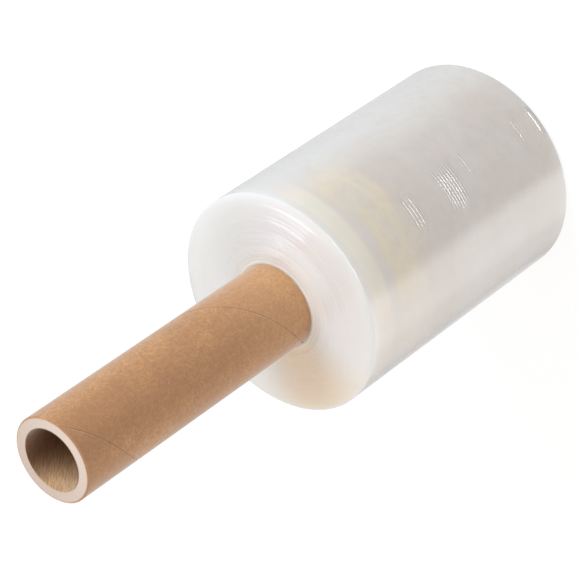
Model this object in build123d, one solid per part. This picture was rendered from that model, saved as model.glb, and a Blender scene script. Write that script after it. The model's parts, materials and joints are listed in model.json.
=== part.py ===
from build123d import *
import os
from math import cos, pi, radians, sin

# Roll of clear stretch film, wound on a spiral paperboard core whose long bare end is the handle.
# Millimetres. +Z is the winding axis. The roll stands on the film's lower end, at z = 0, with the
# handle upright, and -Y is the front. Angles are about +Z, from +X.

# Paperboard core
core_bore = 24.6  # diameter of the hole through the core
core_wall = 4.75
handle_length = 122.0  # bare core above the film
core_edge_break = 0.5  # bevel on the outer edges of the sawn ends

# Butt seam of the core's outermost paper ply, a right-handed helix
seam_pitch = 92.0  # rise in one turn
seam_angle = -90.0  # direction in which the seam crosses the handle's front
seam_rise = 22.5  # height of that crossing above the film
seam_width = 0.6
seam_depth = 0.25

# Wound film
film_width = 127.0  # width of the film, and so the length of the roll
film_build = 28.0  # thickness of all the turns together
collar_width = 1.6  # first turns, stretched tight on the core
collar_rise = 0.35  # how far they stand proud of the turns round them
end_swell = 1.0  # the inner turns stand this much higher than the outer ones
shoulder_width = 5.0  # outermost turns, whose edges draw in to a smooth shoulder
shoulder_drop = 1.5  # how far the film's edge falls away over the shoulder
shoulder_strips = 5  # conical strips that make up the shoulder's quarter ellipse
band_width = 2.3  # turns wound level with each other
band_wander = 0.2  # how far a band strays up or down from its neighbours
band_spread = 137.5  # degrees from band to band, which keep the wander uneven

# Loose end of the film, held by its own cling at the back
tail_angle = 97.0
tail_step = 0.12  # the last few turns end together in this step

core_radius = core_bore / 2 + core_wall
core_length = film_width + handle_length
film_radius = core_radius + film_build
shoulder_radius = film_radius - shoulder_width
collar_radius = core_radius + collar_width


def seam_cutter():
    """V-shaped ridge along the seam, longer than the core, to be cut out of its wall."""
    overrun = seam_pitch / 4
    path = Helix(pitch=seam_pitch, height=core_length + 2 * overrun, radius=core_radius)
    section_plane = Plane(origin=path @ 0, x_dir=(1, 0, 0), z_dir=path % 0)
    section = section_plane * Polygon(
        (-seam_depth, 0), (seam_depth, -seam_width), (seam_depth, seam_width), align=None
    )
    ridge = sweep(section, path=path, is_frenet=True)
    crossing = film_width + seam_rise + overrun
    start_angle = seam_angle - 360 * crossing / seam_pitch
    return Pos(0, 0, -overrun) * Rot(0, 0, start_angle) * ridge


def make_core():
    """Paperboard tube, sawn square, with the outer ply's seam open by a hair."""
    upright = (Align.CENTER, Align.CENTER, Align.MIN)
    tube = Cylinder(core_radius, core_length, align=upright)
    tube = chamfer(tube.edges().filter_by(GeomType.CIRCLE), core_edge_break)
    tube -= Cylinder(core_bore / 2, core_length, align=upright)
    return tube - seam_cutter()


def band_corners(phase):
    """Corners (radius, wander) of the bands of turns between collar and shoulder, outwards.

    Two corners at one radius make the small step between neighbouring bands.
    """
    span = shoulder_radius - collar_radius
    count = max(1, round(span / band_width))
    corners = []
    for band in range(count):
        wander = band_wander * sin(radians(phase + band_spread * band))
        for edge in (band, band + 1):
            corners.append((collar_radius + span * edge / count, wander))
    return corners


def upper_end():
    """Corners of the film's upper end, from the core out to the roll's side."""
    collar_top = film_width + collar_rise
    points = [(core_radius, collar_top), (collar_radius, collar_top)]
    for radius, wander in band_corners(phase=40.0):
        fall = end_swell * (radius - collar_radius) / (shoulder_radius - collar_radius)
        points.append((radius, film_width - fall + wander))
    return points + shoulder(film_width - end_swell, outwards=1)


def lower_end():
    """Corners of the end that the roll stands on, from the core out, level but for its steps."""
    points = [(core_radius, 0), (collar_radius, 0)]
    for radius, wander in band_corners(phase=200.0):
        points.append((radius, band_wander + wander))
    return points + shoulder(0, outwards=-1)


def shoulder(end_height, outwards):
    """Points (radius, height) of a quarter ellipse from an end's outer turns to the roll's side."""
    points = []
    for strip in range(shoulder_strips + 1):
        turn = pi / 2 * strip / shoulder_strips
        fall = shoulder_drop * (1 - cos(turn))
        points.append((shoulder_radius + shoulder_width * sin(turn), end_height - outwards * fall))
    return points


def turned_film():
    """The wound film as a round body, with both of its stepped ends."""
    outline = Polyline(*upper_end(), *reversed(lower_end()), close=True)
    return revolve(Plane.XZ * make_face(outline), axis=Axis.Z)


def last_turn():
    """One turn of a spiral, from two half circles, which leaves the step of the loose end."""
    first_half = CenterArc((0, 0), film_radius, 0, 180)
    second_half = CenterArc((-tail_step / 2, 0), film_radius - tail_step / 2, 180, 180)
    step = Line(second_half @ 1, first_half @ 0)
    outline = make_face(Wire([first_half, second_half, step]))
    return Rot(0, 0, tail_angle) * extrude(outline, film_width + collar_rise)


def make_film():
    """All the turns as one body: round ends, and the loose end's step down the side."""
    return turned_film() & last_turn()


os.makedirs("parts", exist_ok=True)
export_step(make_core(), "parts/core_tube.step")
export_step(make_film(), "parts/film_roll.step")
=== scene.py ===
import bpy
import json
import math
from mathutils import Matrix, Vector


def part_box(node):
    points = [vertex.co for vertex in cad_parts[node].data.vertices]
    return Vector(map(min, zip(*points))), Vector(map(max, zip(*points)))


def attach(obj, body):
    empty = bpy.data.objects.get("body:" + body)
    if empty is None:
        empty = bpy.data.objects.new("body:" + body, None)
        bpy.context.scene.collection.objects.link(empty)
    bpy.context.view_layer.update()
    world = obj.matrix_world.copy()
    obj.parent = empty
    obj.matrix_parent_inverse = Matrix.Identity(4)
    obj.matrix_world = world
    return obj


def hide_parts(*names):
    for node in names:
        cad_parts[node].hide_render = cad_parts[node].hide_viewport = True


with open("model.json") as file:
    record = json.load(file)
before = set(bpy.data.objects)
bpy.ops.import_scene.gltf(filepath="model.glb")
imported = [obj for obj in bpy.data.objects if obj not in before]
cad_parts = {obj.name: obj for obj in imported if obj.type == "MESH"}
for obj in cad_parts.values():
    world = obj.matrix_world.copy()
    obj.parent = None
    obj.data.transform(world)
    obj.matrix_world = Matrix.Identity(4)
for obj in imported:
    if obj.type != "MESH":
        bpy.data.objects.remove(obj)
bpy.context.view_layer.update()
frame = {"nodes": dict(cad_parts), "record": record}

mm = 0.001
white = (1, 1, 1, 1)
scene = bpy.context.scene
scene.view_settings.view_transform = "Standard"
print("frame loaded:", sorted(frame["nodes"]))

# sizes that both pieces follow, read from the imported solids
coreLow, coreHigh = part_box("core_tube")
filmLow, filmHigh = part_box("film_roll")
boreMount = next(m for m in frame["record"]["mounts"] if m["name"] == "core_bore")
coreRadius = (coreHigh[0] - coreLow[0]) / 2
coreTop = coreHigh[2]
filmRadius = max(filmHigh[0], filmHigh[1], -filmLow[0], -filmLow[1])
filmTop = filmHigh[2]
# the same in mm, for the cross-section and the materials
coreR, coreZ = coreRadius / mm, coreTop / mm
filmR, filmZ = filmRadius / mm, filmTop / mm
boreR = boreMount["dims"]["r_mm"]


# small helpers for node trees

def plug(tree, value, socket):
    if isinstance(value, bpy.types.NodeSocket):
        tree.links.new(value, socket)
    else:
        socket.default_value = value


def addNode(tree, kind, inputs=None, **settings):
    node = tree.nodes.new(kind)
    for name, value in settings.items():
        setattr(node, name, value)
    for key, value in (inputs or {}).items():
        plug(tree, value, node.inputs[key])
    return node


def calc(tree, operation, a, b=0.0, c=0.0):
    return addNode(tree, "ShaderNodeMath", {0: a, 1: b, 2: c}, operation=operation).outputs[0]


def times(tree, first, *others):
    for other in others:
        first = calc(tree, "MULTIPLY", first, other)
    return first


def restOf(tree, share):
    return calc(tree, "SUBTRACT", 1.0, share)


def ease(tree, value, low, high, toLow=0.0, toHigh=1.0):
    ends = {"Value": value, "From Min": low, "From Max": high, "To Min": toLow, "To Max": toHigh}
    return addNode(tree, "ShaderNodeMapRange", ends, interpolation_type="SMOOTHSTEP").outputs["Result"]


def bandShare(tree, value, middle, half):
    # 1 within a band and 0 outside it, with soft edges
    off = calc(tree, "ABSOLUTE", calc(tree, "SUBTRACT", value, middle))
    return ease(tree, off, half * 1.35, half * 0.65)


def toothed(tree, turns, fall):
    # climbs from 0 to 1 in each turn, and drops back over the last share of it
    t = calc(tree, "FRACT", turns)
    drop = calc(tree, "DIVIDE", restOf(tree, t), fall)
    return calc(tree, "MINIMUM", calc(tree, "DIVIDE", t, 1 - fall), drop)


def vec(tree, x=0.0, y=0.0, z=0.0):
    return addNode(tree, "ShaderNodeCombineXYZ", {0: x, 1: y, 2: z}).outputs[0]


def reachOf(tree, x, y):
    # distance from the axis
    return calc(tree, "SQRT", calc(tree, "ADD", times(tree, x, x), times(tree, y, y)))


def cloud(tree, vector, scale, detail=2.0, rough=0.5):
    given = {"Vector": vector, "Scale": scale, "Detail": detail, "Roughness": rough}
    return addNode(tree, "ShaderNodeTexNoise", given).outputs["Fac"]


def tint(tree, amount, a, b):
    node = addNode(tree, "ShaderNodeMix", data_type="RGBA")
    for key, value in (("Factor_Float", amount), ("A_Color", a), ("B_Color", b)):
        plug(tree, value, next(s for s in node.inputs if s.identifier == key))
    return next(s for s in node.outputs if s.identifier == "Result_Color")


def srgb(r, g, b):
    def linear(v):
        v = v / 255
        return v / 12.92 if v <= 0.04045 else ((v + 0.055) / 1.055) ** 2.4
    return (linear(r), linear(g), linear(b), 1.0)


def newMaterial(name):
    material = bpy.data.materials.new(name)
    material.use_nodes = True
    tree = material.node_tree
    tree.nodes.clear()
    return material, tree, addNode(tree, "ShaderNodeOutputMaterial").inputs["Surface"]


def finishMaterial(name, finish):
    material, tree, surface = newMaterial(name)
    shader = addNode(tree, "ShaderNodeBsdfPrincipled", finish)
    tree.links.new(shader.outputs["BSDF"], surface)
    return material, tree, shader


def roundCoords(tree):
    # radius and height of a point in mm, and its direction about the roll's axis
    place = addNode(tree, "ShaderNodeTexCoord").outputs["Object"]
    x, y, z = addNode(tree, "ShaderNodeSeparateXYZ", {0: place}).outputs
    radius = reachOf(tree, x, y)
    turn = calc(tree, "DIVIDE", calc(tree, "ARCTAN2", y, x), math.tau)
    # degrees from the front, -Y, between -180 and 180
    around = calc(tree, "FRACT", calc(tree, "ADD", turn, 0.75))
    fromFront = times(tree, calc(tree, "SUBTRACT", around, 0.5), 360)
    return {
        "place": place,
        "radius": times(tree, radius, 1 / mm),
        "height": times(tree, z, 1 / mm),
        "turn": turn,
        "fromFront": fromFront,
        "cos": calc(tree, "DIVIDE", x, radius),
        "sin": calc(tree, "DIVIDE", y, radius),
    }


def degreesFrom(tree, fromFront, direction):
    off = calc(tree, "ABSOLUTE", calc(tree, "SUBTRACT", fromFront, direction))
    return calc(tree, "MINIMUM", off, calc(tree, "SUBTRACT", 360.0, off))


# camera, matched to the outline in the photograph: rolled, because the roll lies there and stands here
cameraSet = {
    "elevation": 40.312,  # degrees above the floor, in front of the roll
    "roll": -124.638,
    "distance": 1037.17,  # mm from the middle of the roll's axis
    "aimRight": 3.776,  # where the frame's centre lies, from that middle, in mm
    "aimUp": 4.681,
    "focalPixels": 2781.99,
    "framePixels": 580,
    "sensor": 36,  # mm
    "clipEnd": 20,  # m
}


def placeCamera(s):
    el, roll = math.radians(s["elevation"]), math.radians(s["roll"])
    back = Vector((0, -math.cos(el), math.sin(el)))
    level = Vector((1, 0, 0))
    rise = back.cross(level)
    right = math.cos(roll) * level + math.sin(roll) * rise
    up = math.cos(roll) * rise - math.sin(roll) * level
    middle = Vector((0, 0, coreTop / 2))
    place = middle + (s["aimRight"] * right + s["aimUp"] * up + s["distance"] * back) * mm
    data = bpy.data.cameras.new("photoCamera")
    data.sensor_width = s["sensor"]
    data.lens = s["sensor"] * s["focalPixels"] / s["framePixels"]
    data.clip_end = s["clipEnd"]
    camera = bpy.data.objects.new("photoCamera", data)
    scene.collection.objects.link(camera)
    turned = Matrix((right, up, back)).transposed().to_4x4()
    camera.matrix_world = Matrix.Translation(place) @ turned
    scene.camera = camera


placeCamera(cameraSet)
print("camera placed")


# winding: a cross-section is carried round the axis, and its rows of turns waver a little
def windingTree(name, material):
    tree = bpy.data.node_groups.new(name, "GeometryNodeTree")
    face = tree.interface
    face.new_socket("Cross-section", in_out="INPUT", socket_type="NodeSocketGeometry")
    face.new_socket("Segments", in_out="INPUT", socket_type="NodeSocketInt")
    for label in ("Tail Direction", "Tail Step", "Tail From", "Tail To",
                  "Waver", "Waver Pitch", "Waver Length", "Seed"):
        face.new_socket(label, in_out="INPUT", socket_type="NodeSocketFloat")
    face.new_socket("Winding", in_out="OUTPUT", socket_type="NodeSocketGeometry")
    given = addNode(tree, "NodeGroupInput").outputs
    section = given["Cross-section"]
    position = addNode(tree, "GeometryNodeInputPosition").outputs[0]

    # a grid with one row for each point of the cross-section, and the first again at the end
    count = addNode(tree, "GeometryNodeAttributeDomainSize", {"Geometry": section}, component="MESH")
    points = count.outputs["Point Count"]
    perRow = calc(tree, "ADD", given["Segments"], 1)
    grid = addNode(tree, "GeometryNodeMeshGrid", {
        "Size X": 1.0, "Size Y": 1.0, "Vertices X": calc(tree, "ADD", points, 1), "Vertices Y": perRow})
    index = addNode(tree, "GeometryNodeInputIndex").outputs[0]
    row = calc(tree, "FLOOR", calc(tree, "DIVIDE", calc(tree, "ADD", index, 0.5), perRow))
    column = calc(tree, "SUBTRACT", index, times(tree, row, perRow))
    sample = addNode(tree, "GeometryNodeSampleIndex", {
        "Geometry": section, "Value": position, "Index": calc(tree, "MODULO", row, points),
    }, data_type="FLOAT_VECTOR", domain="POINT")
    radius, _, height = addNode(tree, "ShaderNodeSeparateXYZ", {0: sample.outputs["Value"]}).outputs

    # once round, with the last sliver of a turn left for the step of the loose end
    stepShare = 0.0006
    lastColumn = calc(tree, "SUBTRACT", given["Segments"], 1)
    share = calc(tree, "MINIMUM", calc(tree, "DIVIDE", column, lastColumn), 1.0)
    closing = calc(tree, "GREATER_THAN", column, calc(tree, "ADD", lastColumn, 0.5))
    share = calc(tree, "ADD", times(tree, share, 1 - stepShare), times(tree, closing, stepShare))
    angle = calc(tree, "MULTIPLY_ADD", share, math.tau, given["Tail Direction"])
    outer = ease(tree, radius, given["Tail From"], given["Tail To"])
    sunk = times(tree, ease(tree, share, 0.5, 1.0), restOf(tree, closing))
    radius = calc(tree, "SUBTRACT", radius, times(tree, sunk, outer, given["Tail Step"]))
    across = times(tree, radius, calc(tree, "COSINE", angle))
    place = vec(tree, across, times(tree, radius, calc(tree, "SINE", angle)), height)
    turned = addNode(tree, "GeometryNodeSetPosition", {"Geometry": grid.outputs["Mesh"], "Position": place})
    weldGap = 0.004 * mm
    merged = addNode(tree, "GeometryNodeMergeByDistance", {"Geometry": turned.outputs[0], "Distance": weldGap})

    # long slow waver along each turn, quick from turn to turn
    x, y, z = addNode(tree, "ShaderNodeSeparateXYZ", {0: position}).outputs
    across = calc(tree, "DIVIDE", calc(tree, "ADD", reachOf(tree, x, y), z), given["Waver Pitch"])
    across = calc(tree, "ADD", across, given["Seed"])
    along = calc(tree, "DIVIDE", 1.0, given["Waver Length"])
    where = vec(tree, across, times(tree, x, along), times(tree, y, along))
    noise = calc(tree, "SUBTRACT", cloud(tree, where, 1.0, 1.0), 0.5)
    push = addNode(tree, "ShaderNodeVectorMath", {
        0: addNode(tree, "GeometryNodeInputNormal").outputs[0], "Scale": times(tree, noise, given["Waver"]),
    }, operation="SCALE")
    wavered = addNode(tree, "GeometryNodeSetPosition", {"Geometry": merged.outputs[0], "Offset": push.outputs[0]})
    outward = addNode(tree, "GeometryNodeFlipFaces", {"Mesh": wavered.outputs[0]})
    smooth = addNode(tree, "GeometryNodeSetShadeSmooth", {"Geometry": outward.outputs[0]})
    real = addNode(tree, "GeometryNodeRealizeInstances", {"Geometry": smooth.outputs[0]})
    clad = addNode(tree, "GeometryNodeSetMaterial", {"Geometry": real.outputs[0], "Material": material})
    addNode(tree, "NodeGroupOutput", {"Winding": clad.outputs[0]})
    return tree


def windPiece(name, sectionPoints, tree, sizes):
    mesh = bpy.data.meshes.new(name + "Section")
    mesh.from_pydata([(r * mm, 0, z * mm) for r, z in sectionPoints], [], [])
    carrier = bpy.data.objects.new(name + "Section", mesh)
    scene.collection.objects.link(carrier)
    modifier = carrier.modifiers.new("winding", "NODES")
    modifier.node_group = tree
    sockets = {s.name: s.identifier for s in tree.interface.items_tree if s.in_out == "INPUT"}
    for label, value in sizes.items():
        modifier[sockets[label]] = value
    bpy.context.view_layer.update()
    evaluated = carrier.evaluated_get(bpy.context.evaluated_depsgraph_get())
    done = bpy.data.meshes.new_from_object(evaluated)
    done.name = name
    bpy.data.objects.remove(carrier)
    piece = bpy.data.objects.new(name, done)
    scene.collection.objects.link(piece)
    return piece


# wound film: lengths in mm, directions in degrees
filmSet = {
    "collarWidth": 1.6,  # first turns on the core
    "collarRise": 0.35,
    "collarSlope": 0.5,
    "endSwell": 1.0,
    "shoulderWidth": 5.0,
    "shoulderDrop": 1.5,
    # closer steps where the shoulder turns down, so that its thin glint is even
    "shoulderSteps": (0, 10, 20, 30, 40, 50, 58, 65, 71, 75, 78, 81, 84, 87, 90),
    "bandWidth": 2.3,
    "bandWander": 0.04,
    "bandSpread": 137.5,  # from band to band
    "topPhase": -26.0,  # of the first band
    "basePhase": 200.0,
    "stepWidth": 1.2,  # over which one band passes to the next
    "ridges": ((1.09, 0.014, 1.9), (2.21, 0.034, 4.0)),  # period, height, phase in turns
    "ridgeFall": 0.3,  # share of a ridge's period that falls away outwards
    "ridgeInner": 0.35,  # how much higher the ridges are next to the core
    "ridgeFade": 5.0,  # over which they die out before the shoulder
    "coreGap": -0.05,
    "wallRow": 0.03,  # second row of an end, from the first
    "topPitch": 0.2,  # between rows on the upper end
    "basePitch": 0.45,
    "sideRows": 64,
    "edgeRow": 0.25,  # first and last row of the side, from the shoulder
    "boreRows": 6,
    "segments": 240,
    "tailDirection": 97.0,
    "tailStep": 0.12,
    "waver": 0.03,
    "waverPitch": 1.3,
    "waverLength": 14.0,
    "seed": 3.0,

    # tones of the side
    "milk": srgb(235, 227, 219),
    "clear": srgb(240, 239, 236),
    # painted cool light on the lit side of the roll
    "cool": srgb(232, 233, 233),
    "cream": srgb(248, 234, 208),
    "pale": srgb(255, 241, 228),
    "rose": srgb(231, 219, 211),
    "haze": srgb(222, 214, 207),
    # rings: middle, half height, strength
    "creamRing": (98.0, 11.0, 0.75),
    "paleRing": (117.8, 4.2, 0.9),
    "roseRing": (79.0, 9.0, 0.45),
    "clearRing": (125.0, 3.0, 0.4),
    "ringDrift": 22.0,  # how far the slow noise moves a ring
    "coolSide": (110.0, 82.0, 52.0),  # direction from the front, and how far from it the painted cool light starts and is full
    "coolStrength": 0.6,
    "creamSide": (22.0, 66.0, 40.0),
    "creamFaint": 0.25,  # what is left of the yellow on the lit sides
    "hazeTop": (112.0, 100.0),  # heights where the mottling starts and is full
    # shares of a noise: from, to, least, most
    "clearShare": (0.35, 0.7, 0, 0.25),
    "creamShare": (0.32, 0.58, 0.35, 1),
    "hazeShare": (0.42, 0.66, 0, 0.3),

    # tones of the end
    "endMilk": srgb(236, 235, 232),
    "endRose": srgb(238, 229, 225),
    "endLilac": srgb(238, 231, 233),
    # painted glint, for the band round the core
    "glow": srgb(255, 250, 249),
    "honey": srgb(240, 228, 213),  # next to the core, which shows through
    # painted shadow of the core on the end, warmed by its brown bounce
    "tan": srgb(250, 219, 181),
    "collar": srgb(240, 227, 210),
    # patches: direction from the front, half width, strength
    "rosePatch": (-38.0, 44.0, 0.6),
    "lilacPatch": (36.0, 48.0, 0.6),
    "glowPatch": (26.0, 56.0, 0.65),
    "tanPatch": (-106.0, 52.0, 0.72),
    "tanOuter": (6.0, 0.7),  # past the film's radius, and the share of the painted shadow there
    "endEdge": (1.5, 4.0),  # inside the film's radius: where the end's tones start and are full
    "tanEdge": (0.1, 1.2),
    "glowRing": (8.0, 5.0),  # middle of the painted glint band, from the core, and half width
    "honeyZone": (10.0, 0.2),  # width, strength
    "collarZone": (3.5, 0.3, 0.5),  # from the core: where the tone starts and is full, strength

    # noise along the turns: frequency across them for each mm, and round them, scale, detail, roughness
    "slowNoise": (1 / 22, 1.0, 1.7, 3.0, 0.55),
    "creamNoise": (1 / 15, 1.0, 1.9, 3.0, 0.55),
    "hazeNoise": (1 / 4.5, 8.0, 1.0, 4.0, 0.65),
    "gaugeNoise": (1.1, 1.5, 1.0, 2.0, 0.5),
    "edgeNoise": (1.2, 22.0, 1.0, 2.0, 0.6),
    "sparkleNoise": (0.9, 11.0, 1.0, 2.0, 0.6),

    # relief
    "gaugeDepth": 0.010,
    "edgeDepth": 0.014,
    "sparkle": (1.0, 0.055, 0.5),  # pitch, drop, share of the pitch that falls
    "sparkleZone": (1.5, 4.0, 8.0, 15.0),  # from the core: starts, full, still full, ends
    "sparkleStray": 0.6,
    "sparkleShare": (0.44, 0.54),
    # wrinkles that catch the light: middle, half height, direction, half width, pitch and fall of the lines
    "wrinkles": (
        (84.0, 3.6, -2.0, 11.0, 1.7, 0.25),
        (60.5, 5.4, -2.0, 13.0, 1.45, 0.34),
        (48.0, 1.6, 4.0, 7.0, 1.8, 0.22),
        (14.5, 2.2, 3.0, 7.0, 1.9, 0.18),
        (3.5, 1.6, 2.0, 9.0, 5.0, 0.8),
    ),
    "wrinkleSlope": 0.84,  # at the lower end
    "wrinkleEase": 0.001,  # how much less steep for each mm up
    "wrinkleRagged": (1.3, 14.0, 0.08),  # frequency for each mm up, stray in degrees and in mm
    "wrinkleStart": (0.15, 10.9),  # above a bundle's middle, and the turns there

    # finish
    "shader": {
        "Roughness": 0.28,
        "IOR": 1.5,
        "Subsurface Weight": 1.0,
        "Subsurface Radius": (1.0, 0.94, 0.87),
        "Coat Weight": 1.0,
        "Coat Roughness": 0.04,
        "Coat IOR": 1.9,
    },
    "scatter": (2.0, 12.0),  # depth next to the core and further out
    "scatterZone": (2.0, 16.0),  # from the core
}


def sawWave(turns, fall):
    # rises slowly from 0 to 1 and falls fast, rounded at both ends
    t = turns % 1
    t = t / (1 - fall) if t < 1 - fall else (1 - t) / fall
    return t * t * (3 - 2 * t)


def filmEnd(s, pitch, phase, swell, low):
    # (radius, height) rows from the core to the shoulder: bands of level turns, each with its fine ridges
    rc = coreR + s["coreGap"]
    rs = filmR - s["shoulderWidth"]
    first = rc + s["collarWidth"]
    bands = max(1, round((rs - first) / s["bandWidth"]))
    width = (rs - first) / bands
    blur = s["stepWidth"] / width
    rows = []
    count = round((rs - rc) / pitch)
    for k in range(count):
        r = rc + (rs - rc) * k / count
        t = (r - first) / width
        wander = 0.0
        for band in range(bands):
            level = s["bandWander"] * (low + math.sin(math.radians(phase + s["bandSpread"] * band)))
            share = min(max((t - band) / blur + 0.5, 0), 1) * min(max((band + 1 - t) / blur + 0.5, 0), 1)
            wander += level * share
        ridge = sum(h * sawWave(r / p + q, s["ridgeFall"]) for p, h, q in s["ridges"])
        fade = min(1, (r - rc) / s["collarWidth"]) * min(1, (rs - r) / s["ridgeFade"])
        fade *= 1 + s["ridgeInner"] * (1 - (r - rc) / (rs - rc))
        collar = s["collarRise"] * (1 - low) * min(max((first - r) / s["collarSlope"], 0), 1)
        rows.append((r, wander + ridge * fade + collar - swell * max(0, t) / bands))
    rows.insert(1, (rc + s["wallRow"], rows[0][1]))
    return rows


def filmSection(s):
    top = filmZ - s["collarRise"]
    edge = top - s["endSwell"]
    rs = filmR - s["shoulderWidth"]
    arc = [math.radians(a) for a in s["shoulderSteps"]]
    ring = [(rs + s["shoulderWidth"] * math.sin(a), s["shoulderDrop"] * (1 - math.cos(a))) for a in arc]
    base = filmEnd(s, s["basePitch"], s["basePhase"], 0.0, 1)
    crown = [(r, top + h) for r, h in filmEnd(s, s["topPitch"], s["topPhase"], s["endSwell"], 0)]
    low, high = ring[-1][1], edge - ring[-1][1]
    side = [(filmR, low + (high - low) * k / s["sideRows"]) for k in range(1, s["sideRows"])]
    side = [(filmR, low + s["edgeRow"])] + side + [(filmR, high - s["edgeRow"])]
    points = [(r, max(0.0, h)) for r, h in base] + ring + side
    points += [(r, edge - h) for r, h in reversed(ring)] + list(reversed(crown))
    inner = coreR + s["coreGap"]
    return points + [(inner, top * k / s["boreRows"]) for k in range(s["boreRows"] - 1, 0, -1)]


def filmMaterial(s):
    material, tree, shader = finishMaterial("wound clear film", s["shader"])
    at = roundCoords(tree)
    radius, height, fromFront = at["radius"], at["height"], at["fromFront"]

    def noise(name, across):
        perMm, around, scale, detail, rough = s[name]
        ring = times(tree, at["cos"], around), times(tree, at["sin"], around)
        return cloud(tree, vec(tree, times(tree, across, perMm), *ring), scale, detail, rough)

    def patch(direction, width):
        return ease(tree, degreesFrom(tree, fromFront, direction), width, width * 0.1)

    def inside(name):
        start, full = s[name]
        return ease(tree, radius, filmR - start, filmR - full)

    onEnd = inside("endEdge")
    onSide = restOf(tree, onEnd)

    # one side of the roll is painted cooler, where the light and its reflections fall; the yellow rings are the
    # film's own, painted fullest on the shaded front and faded round the lit sides
    direction, start, full = s["coolSide"]
    away = degreesFrom(tree, fromFront, direction)
    cool = times(tree, ease(tree, away, start, full), onSide)
    shadedSide = times(tree, ease(tree, away, full, start), onSide)
    direction, start, full = s["creamSide"]
    facing = ease(tree, degreesFrom(tree, fromFront, direction), start, full, s["creamFaint"], 1)
    above = times(tree, shadedSide, facing)
    broken = times(tree, ease(tree, noise("creamNoise", height), *s["creamShare"]), above)

    # slow drift of the tints along the turns
    slow = noise("slowNoise", height)
    drift = calc(tree, "MULTIPLY_ADD", calc(tree, "SUBTRACT", slow, 0.5), s["ringDrift"], height)
    colour = tint(tree, onEnd, s["milk"], s["endMilk"])
    colour = tint(tree, ease(tree, slow, *s["clearShare"]), colour, s["clear"])
    colour = tint(tree, times(tree, cool, s["coolStrength"]), colour, s["cool"])
    for name, tone, where, share in (
            ("creamRing", "cream", drift, broken), ("paleRing", "pale", height, above),
            ("roseRing", "rose", drift, shadedSide), ("clearRing", "clear", height, onSide)):
        middle, half, strength = s[name]
        ring = times(tree, bandShare(tree, where, middle, half), share, strength)
        colour = tint(tree, ring, colour, s[tone])

    # patches on the end, a painted glint in a band round the core, and the warmer turns next to the core
    middle, half = s["glowRing"]
    paintedGlintBand = bandShare(tree, radius, coreR + middle, half)
    for name, tone, share in (
            ("rosePatch", "endRose", onEnd), ("lilacPatch", "endLilac", onEnd), ("glowPatch", "glow", paintedGlintBand)):
        direction, width, strength = s[name]
        colour = tint(tree, times(tree, patch(direction, width), share, strength), colour, s[tone])
    width, strength = s["honeyZone"]
    colour = tint(tree, times(tree, ease(tree, radius, coreR + width, coreR), strength), colour, s["honey"])
    # painted shadow of the core on the end, tan with its brown bounce
    direction, width, strength = s["tanPatch"]
    past, least = s["tanOuter"]
    inward = ease(tree, radius, filmR + past, coreR, least, 1)
    share = times(tree, patch(direction, width), inward, inside("tanEdge"), strength)
    colour = tint(tree, share, colour, s["tan"])
    # cream collar of the first turns, painted lightest right at the core, where it lifts the shade in the corner
    start, full, strength = s["collarZone"]
    colour = tint(tree, ease(tree, radius, coreR + start, coreR + full, 0, strength), colour, s["collar"])

    # faint mottling of the film, shown only on the shaded front, like the yellow
    mottled = ease(tree, noise("hazeNoise", height), *s["hazeShare"])
    share = times(tree, mottled, facing, onSide, ease(tree, height, *s["hazeTop"]))
    colour = tint(tree, share, colour, s["haze"])
    plug(tree, colour, shader.inputs["Base Color"])

    # relief in mm: gauge lines along the side, uneven turns on the end
    relief = times(tree, noise("gaugeNoise", height), onSide, s["gaugeDepth"])
    uneven = times(tree, noise("edgeNoise", radius), onEnd)
    relief = calc(tree, "MULTIPLY_ADD", uneven, s["edgeDepth"], relief)

    # short broken edges of turns round the core, each falling outwards at one slope
    pitch, drop, fall = s["sparkle"]
    grain = noise("sparkleNoise", radius)
    turns = calc(tree, "MULTIPLY_ADD", radius, 1 / pitch, times(tree, grain, s["sparkleStray"]))
    tooth = toothed(tree, turns, fall)
    start, full, last, end = (coreR + out for out in s["sparkleZone"])
    zone = times(tree, ease(tree, radius, end, last), ease(tree, radius, start, full))
    zone = times(tree, zone, ease(tree, grain, *s["sparkleShare"]))
    relief = calc(tree, "MULTIPLY_ADD", times(tree, tooth, zone), drop, relief)

    # bundles of wrinkles, ragged at both ends
    perMm, strayDegrees, strayMm = s["wrinkleRagged"]
    ragged = cloud(tree, vec(tree, times(tree, height, perMm)), 1.0, 1.0)
    reach = calc(tree, "MULTIPLY_ADD", calc(tree, "SUBTRACT", ragged, 0.5), strayDegrees, fromFront)
    strayed = calc(tree, "MULTIPLY_ADD", ragged, strayMm, height)
    offset, phase = s["wrinkleStart"]
    for middle, half, direction, width, pitch, drop in s["wrinkles"]:
        off = degreesFrom(tree, reach, direction)
        share = times(tree, bandShare(tree, height, middle, half), ease(tree, off, width, width * 0.6), onSide)
        # each line climbs slowly and falls at one slope, the fall at the bundle's middle
        turns = calc(tree, "MULTIPLY_ADD", calc(tree, "SUBTRACT", strayed, middle + offset), 1 / pitch, phase)
        lines = toothed(tree, turns, drop / pitch)
        slope = s["wrinkleSlope"] - s["wrinkleEase"] * middle
        relief = calc(tree, "MULTIPLY_ADD", times(tree, share, lines), slope * drop, relief)
    bump = addNode(tree, "ShaderNodeBump", {"Strength": 1.0, "Distance": mm, "Height": relief}).outputs[0]
    plug(tree, bump, shader.inputs["Normal"])
    plug(tree, bump, shader.inputs["Coat Normal"])

    # light goes less deep next to the core
    start, full = (coreR + out for out in s["scatterZone"])
    depth = ease(tree, radius, start, full, *(d * mm for d in s["scatter"]))
    plug(tree, depth, shader.inputs["Subsurface Scale"])
    return material


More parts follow.
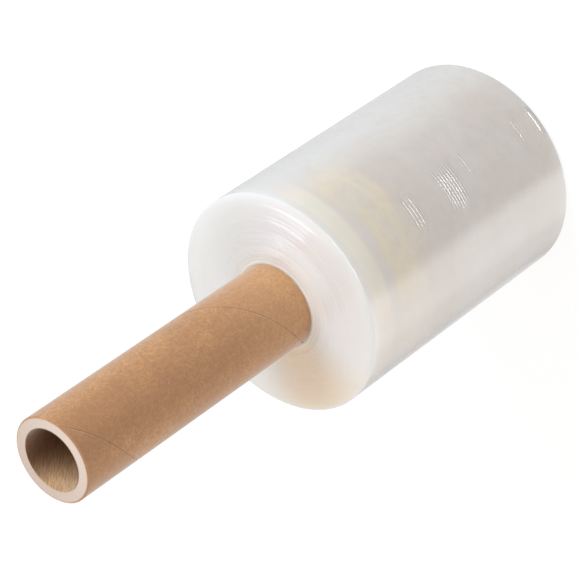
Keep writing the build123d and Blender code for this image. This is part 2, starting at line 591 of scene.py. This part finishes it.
winding = windingTree("winding", filmMaterial(filmSet))
film = windPiece("woundFilm", filmSection(filmSet), winding, {
    "Segments": filmSet["segments"],
    "Tail Direction": math.radians(filmSet["tailDirection"]),
    "Tail Step": filmSet["tailStep"] * mm,
    "Tail From": filmRadius - filmSet["shoulderWidth"] * mm,
    "Tail To": filmRadius,
    "Waver": filmSet["waver"] * mm,
    "Waver Pitch": filmSet["waverPitch"] * mm,
    "Waver Length": filmSet["waverLength"] * mm,
    "Seed": filmSet["seed"],
})
print("film wound:", len(film.data.polygons), "faces")


# paperboard core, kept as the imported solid: lengths in mm, directions in degrees from the front
coreSet = {
    "seamPitch": 92.0,
    "seamCrossing": 149.5,  # height where the seam crosses the front
    "seamHalf": 0.22,
    "seamStrength": 0.15,
    "seamTone": srgb(130, 88, 56),
    "skin": (1.0, 0.4),  # under the outside, where the cut's tone gives way to the paper's
    "boreSkin": (0.5, 0.1),

    "fibre": (950.0, 5.0, 0.7),  # scale, detail, roughness of the noise
    "fibreShare": (0.3, 0.7),
    "kraft": (srgb(187, 135, 90), srgb(221, 169, 117)),
    # spots in the paper: scale, detail and roughness of the noise, where they start and are full, strength, tone
    "spots": (
        (430.0, 3.0, 0.6, 0.38, 0.64, 0.4, srgb(174, 123, 84)),
        (32.0, 2.0, 0.5, 0.4, 0.6, 0.42, srgb(176, 127, 90)),
        (1500.0, 1.0, 0.5, 0.67, 0.78, 0.5, srgb(134, 90, 56)),
        (1200.0, 1.0, 0.5, 0.72, 0.8, 0.6, srgb(224, 184, 148)),
    ),
    # sides: direction, and how far from it the tone starts and is full
    "cleanSide": (60.0, 125.0, 75.0),
    "heldSide": (7.0, 50.0, 15.0),
    "scuffedSide": (-128.0, 80.0, 20.0),
    # height above the film where the tone starts, strength, tone
    # painted bounce light from the film, and painted contact shade
    "clean": (50.0, 0.3, srgb(226, 176, 124)),
    "dull": (24.0, 0.3, srgb(158, 108, 64)),
    "held": (0.62, srgb(170, 121, 82)),  # strength, tone
    "heldBelow": (84.0, 4.0),  # below the top, where the tone starts and is full
    "heldAround": 0.2,  # what is left of it on the other sides

    "cut": (srgb(214, 191, 174), srgb(225, 203, 187)),
    # painted light on the front of the cut, painted shade on its back
    "cutFront": (0.6, srgb(240, 219, 203)),  # strength, tone
    "cutBack": (0.3, srgb(196, 172, 154)),

    "strokes": (30.0, 3.0, 2.0, 0.6),  # frequency round the bore, length, detail, roughness
    "strokeShare": (0.35, 0.65),
    # the bore's browns are painted dark, as the shade inside the tube
    "bore": (srgb(116, 79, 48), srgb(138, 98, 64)),
    "scuffShare": (0.3, 0.66, 0.5, 0.95),  # of the strokes: from, to, least, most
    # painted light on the wall of the bore that faces the lamp
    "scuffed": srgb(240, 196, 150),

    "relief": (0.5, 1.2, 2.0),  # of the fibre, the seam and the strokes
    "bumpStrength": 0.25,
    "bumpDepth": 0.2,
    "shader": {
        "Roughness": 0.65,
        "Sheen Weight": 1.0,
        "Sheen Roughness": 0.35,
        "Specular IOR Level": 0.45,
    },
}


def coreMaterial(s):
    material, tree, shader = finishMaterial("kraft paperboard", s["shader"])
    at = roundCoords(tree)
    place, radius, height, turn = at["place"], at["radius"], at["height"], at["turn"]

    def sideShare(name, least=0.0):
        direction, start, full = s[name]
        return ease(tree, degreesFrom(tree, at["fromFront"], direction), start, full, least, 1)

    # place across the outermost paper strip, 0 at the seam, in mm along the axis
    front = -0.25  # turns
    climbed = calc(tree, "DIVIDE", calc(tree, "SUBTRACT", height, s["seamCrossing"]), s["seamPitch"])
    share = calc(tree, "FRACT", calc(tree, "SUBTRACT", climbed, calc(tree, "SUBTRACT", turn, front)))
    fromSeam = times(tree, calc(tree, "MINIMUM", share, restOf(tree, share)), s["seamPitch"])
    seam = ease(tree, fromSeam, s["seamHalf"] * 2, s["seamHalf"] * 0.5)
    outside = ease(tree, radius, *(coreR - under for under in s["skin"]))
    inside = ease(tree, radius, *(boreR + under for under in s["boreSkin"]))

    # brown paper with its fibre, spots and seam
    fibre = cloud(tree, place, *s["fibre"])
    fibrous = ease(tree, fibre, *s["fibreShare"])
    kraft = tint(tree, fibrous, *s["kraft"])
    for scale, detail, rough, start, full, strength, tone in s["spots"]:
        spot = ease(tree, cloud(tree, place, scale, detail, rough), start, full, 0, strength)
        kraft = tint(tree, spot, kraft, tone)
    kraft = tint(tree, times(tree, seam, s["seamStrength"]), kraft, s["seamTone"])

    # painted bounce light from the film next to it on one side, painted contact shade there on the other, and
    # darker near the top
    clean = sideShare("cleanSide")
    for name, share in (("clean", clean), ("dull", restOf(tree, clean))):
        above, strength, tone = s[name]
        nearFilm = ease(tree, height, filmZ + above, filmZ)
        kraft = tint(tree, times(tree, nearFilm, share, strength), kraft, tone)
    # darker near the top, most towards the front
    strength, tone = s["held"]
    nearTop = ease(tree, height, *(coreZ - below for below in s["heldBelow"]))
    kraft = tint(tree, times(tree, nearTop, sideShare("heldSide", s["heldAround"]), strength), kraft, tone)

    # cut end, painted lighter towards the front and darker towards the back, as light and shade
    paintedLitShare = calc(tree, "MULTIPLY_ADD", at["sin"], -0.5, 0.5)
    cut = tint(tree, fibrous, *s["cut"])
    for name, share in (("cutFront", paintedLitShare), ("cutBack", restOf(tree, paintedLitShare))):
        strength, tone = s[name]
        cut = tint(tree, times(tree, share, strength), cut, tone)

    # strokes in the bore follow the winding of the paper; the bore's browns are painted dark as the shade inside
    # the tube, and the wall facing the light is painted paler, broken up by the strokes
    around, length, detail, rough = s["strokes"]
    lag = times(tree, calc(tree, "SUBTRACT", turn, calc(tree, "DIVIDE", height, s["seamPitch"])), math.tau)
    ring = [times(tree, calc(tree, wave, lag), around) for wave in ("COSINE", "SINE")]
    strokes = cloud(tree, vec(tree, *ring, calc(tree, "DIVIDE", height, length)), 1.0, detail, rough)
    bore = tint(tree, ease(tree, strokes, *s["strokeShare"]), *s["bore"])
    scuffed = times(tree, sideShare("scuffedSide"), ease(tree, strokes, *s["scuffShare"]))
    bore = tint(tree, scuffed, bore, s["scuffed"])

    colour = tint(tree, inside, tint(tree, outside, cut, kraft), bore)
    plug(tree, colour, shader.inputs["Base Color"])
    fibreHigh, seamDeep, strokeHigh = s["relief"]
    groove = times(tree, seam, outside, seamDeep)
    relief = calc(tree, "SUBTRACT", times(tree, fibre, fibreHigh), groove)
    relief = calc(tree, "MULTIPLY_ADD", times(tree, strokes, inside), strokeHigh, relief)
    bump = addNode(tree, "ShaderNodeBump", {
        "Strength": s["bumpStrength"], "Distance": s["bumpDepth"] * mm, "Height": relief})
    plug(tree, bump.outputs[0], shader.inputs["Normal"])
    return material


core = frame["nodes"]["core_tube"]
core.data.materials.clear()
core.data.materials.append(coreMaterial(coreSet))
print("core dressed")


def emission(tree, colour, strength):
    return addNode(tree, "ShaderNodeEmission", {"Color": colour, "Strength": strength}).outputs[0]


def stagePiece(name, points, faces, material):
    mesh = bpy.data.meshes.new(name)
    mesh.from_pydata(points, [], faces)
    mesh.materials.append(material)
    piece = bpy.data.objects.new(name, mesh)
    scene.collection.objects.link(piece)
    return piece


def onlyInGloss(piece):
    piece.visible_camera = False
    piece.visible_diffuse = False
    piece.visible_shadow = False


# pale floor, which gives off an even light of its own
floorSet = {
    "side": 6.0,  # m
    "grey": 0.36,
    "glow": 0.72,
    "bounce": 0.68,  # what it sends to the roll, whatever shadow lies on it
}


def floorMaterial(s):
    material, tree, surface = newMaterial("white floor")
    path = addNode(tree, "ShaderNodeLightPath").outputs
    through = calc(tree, "ADD", path["Is Glossy Ray"], path["Is Transmission Ray"])
    seen = calc(tree, "MINIMUM", calc(tree, "ADD", path["Is Camera Ray"], through), 1.0)
    grey = s["grey"]
    shaded = addNode(tree, "ShaderNodeBsdfDiffuse", {"Color": (grey, grey, grey, 1)}).outputs[0]
    shown = addNode(tree, "ShaderNodeAddShader", {0: shaded, 1: emission(tree, white, s["glow"])}).outputs[0]
    mixed = addNode(tree, "ShaderNodeMixShader", {0: seen, 1: emission(tree, white, s["bounce"]), 2: shown})
    tree.links.new(mixed.outputs[0], surface)
    return material


half = floorSet["side"] / 2
floorCorners = [(-half, -half, 0), (half, -half, 0), (half, half, 0), (-half, half, 0)]
stagePiece("floor", floorCorners, [(0, 1, 2, 3)], floorMaterial(floorSet))

# a graded card lies round the roll, seen only in the film's gloss
cardSet = {
    "radius": 2000.0,  # mm
    "lift": 0.3,
    "corners": 48,
    # direction on the film, in degrees from the front, and how bright the card shows there
    "shades": ((-90, 0.72), (-76, 0.5), (-60, 0.64), (-43, 1.12), (-30, 1.24), (-20, 0.42), (-4, 0.28),
               (14, 0.03), (29, 0.04), (43, 0.36), (58, 0.54), (72, 0.62), (90, 0.72)),
}


def gradedCard(s):
    material, tree, surface = newMaterial("graded card")
    at = roundCoords(tree)
    # from a place on the floor to the part of the film that mirrors it
    near = calc(tree, "DIVIDE", filmR, at["radius"])
    mirrored = calc(tree, "DIVIDE", at["fromFront"], calc(tree, "SUBTRACT", 2.0, near))
    ramp = addNode(tree, "ShaderNodeValToRGB", {0: calc(tree, "MULTIPLY_ADD", mirrored, 1 / 180, 0.5)})
    ramp.color_ramp.interpolation = "EASE"
    stops = ramp.color_ramp.elements
    stops.remove(stops[1])
    for k, (degrees, grey) in enumerate(s["shades"]):
        place = degrees / 180 + 0.5
        stop = stops[0] if k == 0 else stops.new(place)
        stop.position = place
        stop.color = (grey, grey, grey, 1)
    tree.links.new(emission(tree, ramp.outputs["Color"], 1.0), surface)
    r, count = s["radius"] * mm, s["corners"]
    turns = [math.tau * k / count for k in range(count)]
    corners = [(r * math.cos(t), r * math.sin(t), s["lift"] * mm) for t in turns]
    onlyInGloss(stagePiece("gradedCard", corners, [tuple(range(count))], material))


gradedCard(cardSet)

# a bright wall hangs in front: a plain side mirrors the floor, so only wrinkles and the shoulder show it
wallSet = {
    "radius": 1200.0,  # mm
    "low": 600.0,
    "high": 930.0,
    "start": -30.0,  # directions from the front, in degrees
    "end": 26.0,
    "panels": 24,
    "strength": 5.0,
}


def glintWall(s):
    material, tree, surface = newMaterial("bright wall")
    tree.links.new(emission(tree, white, s["strength"]), surface)
    r, panels = s["radius"] * mm, s["panels"]
    wide = s["end"] - s["start"]
    turns = [math.radians(s["start"] + wide * k / panels - 90) for k in range(panels + 1)]
    foot = [(r * math.cos(t), r * math.sin(t), s["low"] * mm) for t in turns]
    head = [(x, y, s["high"] * mm) for x, y, z in foot]
    count = len(turns)
    faces = [(k + 1, k, k + count, k + count + 1) for k in range(panels)]
    onlyInGloss(stagePiece("glintWall", foot + head, faces, material))


glintWall(wallSet)
print("stage set")

# soft lights; directions are degrees about the axis, from +X
lightSet = {
    "world": 0.6,
    "boxes": {
        # name: direction, elevation, distance m, width m, height m, spin, watts, colour, seen in gloss
        "keyBox": (-22, 34, 0.9, 0.5, 0.5, 0, 4.8, (0.91, 1.0, 1.09), False),
        "topBox": (80, 53, 0.9, 0.16, 0.22, 0, 0.06, (1.0, 1.0, 1.0), True),
        "ringStrip": (81.9, 52.6, 0.9, 0.16, 0.09, 45.6, 0.045, (1.0, 1.0, 1.0), True),
        "fillBox": (165, 28, 0.9, 0.6, 0.4, 0, 2.4, (1.0, 0.95, 0.89), False),
    },
}


def softBox(name, azimuth, elevation, distance, width, height, spin, power, colour, inGloss):
    data = bpy.data.lights.new(name, "AREA")
    data.shape = "RECTANGLE"
    data.size, data.size_y = width, height
    data.energy = power
    data.color = colour
    lamp = bpy.data.objects.new(name, data)
    scene.collection.objects.link(lamp)
    az, el = math.radians(azimuth), math.radians(elevation)
    out = Vector((math.cos(el) * math.cos(az), math.cos(el) * math.sin(az), math.sin(el)))
    facing = out.to_track_quat("Z", "Y").to_matrix() @ Matrix.Rotation(math.radians(spin), 3, "Z")
    lamp.location = Vector((0, 0, filmTop)) + out * distance
    lamp.rotation_euler = facing.to_euler()
    lamp.visible_glossy = inGloss


for boxName, boxSizes in lightSet["boxes"].items():
    softBox(boxName, *boxSizes)

world = bpy.data.worlds.new("studio")
world.use_nodes = True
sky = world.node_tree.nodes["Background"]
sky.inputs["Color"].default_value = white
sky.inputs["Strength"].default_value = lightSet["world"]
scene.world = world
print("lights set")

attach(film, "root")
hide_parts("film_roll")
